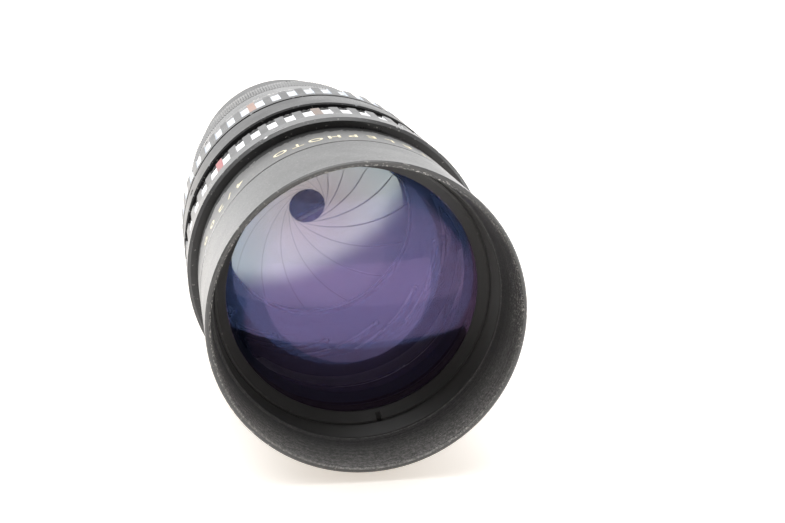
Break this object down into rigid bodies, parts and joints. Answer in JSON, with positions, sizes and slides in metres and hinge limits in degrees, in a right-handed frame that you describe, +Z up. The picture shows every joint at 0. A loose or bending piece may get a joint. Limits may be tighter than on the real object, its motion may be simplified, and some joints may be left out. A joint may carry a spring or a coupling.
{
  "type": "telephoto camera lens",
  "caption": "Preset telephoto prime lens for a screw-mount camera, with zebra grip rings, screw-in hood, leaf iris, helical focusing and a fine-toothed lock ring.",
  "frame": {"origin": "centre of the camera mount's flange face, where the male thread starts", "axes": "+Y along the optical axis towards the camera, so the hood faces -Y; +Z up, with the focus index on top"},
  "size_m": [0.0694, 0.1726, 0.0694],
  "materials": {
    "satin_black": "satin black anodised",
    "gloss_black": "glossy satin black",
    "zebra_alloy": "black anodised with bright milled flats",
    "knurled_alloy": "black anodised",
    "scale_alloy": "satin black anodised with filled marks",
    "matte_black": "matte black",
    "bare_alloy": "greased turned metal",
    "brass": "turned",
    "mount_metal": "turned, worn by use",
    "screw_steel": "blackened and worn",
    "blade_steel": "satin grey, thin sheet",
    "coated_glass": "polished with a violet anti-reflection coating"
  },
  "bodies": {
    "camera_side": {"mount_thread_ring": "mount_metal", "mount_barrel": "satin_black", "mount_grub_screws": "screw_steel", "mount_lock_ring": "knurled_alloy", "rear_barrel": "satin_black", "guide_tube": "bare_alloy", "rear_baffle": "matte_black", "index_ring": "scale_alloy", "index_ring_screws": "screw_steel", "focus_retaining_ring": "screw_steel", "focus_stop_screw": "screw_steel"},
    "focus_group": {"focus_ring": "zebra_alloy", "focus_nut": "brass", "distance_scale_ring": "scale_alloy", "focus_grub_screws": "screw_steel"},
    "front_group": {"hood": "satin_black", "front_barrel": "gloss_black", "front_retaining_ring": "matte_black", "front_element": "coated_glass", "front_cell": "matte_black", "second_element": "coated_glass", "second_element_ring": "matte_black", "third_element": "coated_glass", "third_element_ring": "matte_black", "front_tube": "bare_alloy", "iris_housing": "matte_black", "iris_pivot_plate": "matte_black", "rear_cell": "matte_black", "rear_element": "coated_glass", "rear_element_ring": "matte_black", "guide_keys": "brass", "guide_key_screws": "screw_steel", "control_ring_nut": "satin_black", "detent_ball": "screw_steel", "detent_spring": "screw_steel"},
    "aperture_group": {"aperture_ring": "zebra_alloy", "aperture_link_screw": "screw_steel", "iris_cam_ring": "matte_black"},
    "preset_group": {"preset_ring": "satin_black"},
    "blade_01": {"iris_blade_01": "blade_steel"},
    "blade_02": {"iris_blade_02": "blade_steel"},
    "blade_03": {"iris_blade_03": "blade_steel"},
    "blade_04": {"iris_blade_04": "blade_steel"},
    "blade_05": {"iris_blade_05": "blade_steel"},
    "blade_06": {"iris_blade_06": "blade_steel"},
    "blade_07": {"iris_blade_07": "blade_steel"},
    "blade_08": {"iris_blade_08": "blade_steel"},
    "blade_09": {"iris_blade_09": "blade_steel"},
    "blade_10": {"iris_blade_10": "blade_steel"},
    "blade_11": {"iris_blade_11": "blade_steel"},
    "blade_12": {"iris_blade_12": "blade_steel"},
    "blade_13": {"iris_blade_13": "blade_steel"},
    "blade_14": {"iris_blade_14": "blade_steel"},
    "blade_15": {"iris_blade_15": "blade_steel"}
  },
  "joints": [
    {"name": "focus_turn", "type": "hinge", "parent": "camera_side", "child": "focus_group", "pos_m": [0, -0.087, 0], "axis": [0, -1, 0], "range_deg": [0, 270]},
    {"name": "focus_extend", "type": "slide", "parent": "camera_side", "child": "front_group", "axis": [0, -1, 0], "range_m": [0, 0.01741]},
    {"name": "aperture_turn", "type": "hinge", "parent": "front_group", "child": "aperture_group", "pos_m": [0, -0.119, 0], "axis": [0, -1, 0], "range_deg": [0, 39.37]},
    {"name": "preset_turn", "type": "hinge", "parent": "front_group", "child": "preset_group", "pos_m": [0, -0.1088, 0], "axis": [0, -1, 0], "range_deg": [0, 39.37]},
    {"name": "blade_01_swing", "type": "hinge", "parent": "front_group", "child": "blade_01", "pos_m": [0.021, -0.1031, 0], "axis": [0, -1, 0], "range_deg": [0, 39.38]},
    {"name": "blade_02_swing", "type": "hinge", "parent": "front_group", "child": "blade_02", "pos_m": [0.01918, -0.1031, -0.00854], "axis": [0, -1, 0], "range_deg": [0, 39.38]},
    {"name": "blade_03_swing", "type": "hinge", "parent": "front_group", "child": "blade_03", "pos_m": [0.01405, -0.1031, -0.01561], "axis": [0, -1, 0], "range_deg": [0, 39.38]},
    {"name": "blade_04_swing", "type": "hinge", "parent": "front_group", "child": "blade_04", "pos_m": [0.00649, -0.1031, -0.01997], "axis": [0, -1, 0], "range_deg": [0, 39.38]},
    {"name": "blade_05_swing", "type": "hinge", "parent": "front_group", "child": "blade_05", "pos_m": [-0.0022, -0.1031, -0.02089], "axis": [0, -1, 0], "range_deg": [0, 39.38]},
    {"name": "blade_06_swing", "type": "hinge", "parent": "front_group", "child": "blade_06", "pos_m": [-0.0105, -0.1031, -0.01819], "axis": [0, -1, 0], "range_deg": [0, 39.38]},
    {"name": "blade_07_swing", "type": "hinge", "parent": "front_group", "child": "blade_07", "pos_m": [-0.01699, -0.1031, -0.01234], "axis": [0, -1, 0], "range_deg": [0, 39.38]},
    {"name": "blade_08_swing", "type": "hinge", "parent": "front_group", "child": "blade_08", "pos_m": [-0.02054, -0.1031, -0.00437], "axis": [0, -1, 0], "range_deg": [0, 39.38]},
    {"name": "blade_09_swing", "type": "hinge", "parent": "front_group", "child": "blade_09", "pos_m": [-0.02054, -0.1031, 0.00437], "axis": [0, -1, 0], "range_deg": [0, 39.38]},
    {"name": "blade_10_swing", "type": "hinge", "parent": "front_group", "child": "blade_10", "pos_m": [-0.01699, -0.1031, 0.01234], "axis": [0, -1, 0], "range_deg": [0, 39.38]},
    {"name": "blade_11_swing", "type": "hinge", "parent": "front_group", "child": "blade_11", "pos_m": [-0.0105, -0.1031, 0.01819], "axis": [0, -1, 0], "range_deg": [0, 39.38]},
    {"name": "blade_12_swing", "type": "hinge", "parent": "front_group", "child": "blade_12", "pos_m": [-0.0022, -0.1031, 0.02089], "axis": [0, -1, 0], "range_deg": [0, 39.38]},
    {"name": "blade_13_swing", "type": "hinge", "parent": "front_group", "child": "blade_13", "pos_m": [0.00649, -0.1031, 0.01997], "axis": [0, -1, 0], "range_deg": [0, 39.38]},
    {"name": "blade_14_swing", "type": "hinge", "parent": "front_group", "child": "blade_14", "pos_m": [0.01405, -0.1031, 0.01561], "axis": [0, -1, 0], "range_deg": [0, 39.38]},
    {"name": "blade_15_swing", "type": "hinge", "parent": "front_group", "child": "blade_15", "pos_m": [0.01918, -0.1031, 0.00854], "axis": [0, -1, 0], "range_deg": [0, 39.38]}
  ],
  "couplings": [
    {"joint": "focus_extend", "follows": "focus_turn", "m_per_rad": 0.0036924},
    {"joint": "blade_01_swing", "follows": "aperture_turn", "ratio": 1},
    {"joint": "blade_02_swing", "follows": "aperture_turn", "ratio": 1},
    {"joint": "blade_03_swing", "follows": "aperture_turn", "ratio": 1},
    {"joint": "blade_04_swing", "follows": "aperture_turn", "ratio": 1},
    {"joint": "blade_05_swing", "follows": "aperture_turn", "ratio": 1},
    {"joint": "blade_06_swing", "follows": "aperture_turn", "ratio": 1},
    {"joint": "blade_07_swing", "follows": "aperture_turn", "ratio": 1},
    {"joint": "blade_08_swing", "follows": "aperture_turn", "ratio": 1},
    {"joint": "blade_09_swing", "follows": "aperture_turn", "ratio": 1},
    {"joint": "blade_10_swing", "follows": "aperture_turn", "ratio": 1},
    {"joint": "blade_11_swing", "follows": "aperture_turn", "ratio": 1},
    {"joint": "blade_12_swing", "follows": "aperture_turn", "ratio": 1},
    {"joint": "blade_13_swing", "follows": "aperture_turn", "ratio": 1},
    {"joint": "blade_14_swing", "follows": "aperture_turn", "ratio": 1},
    {"joint": "blade_15_swing", "follows": "aperture_turn", "ratio": 1}
  ]
}
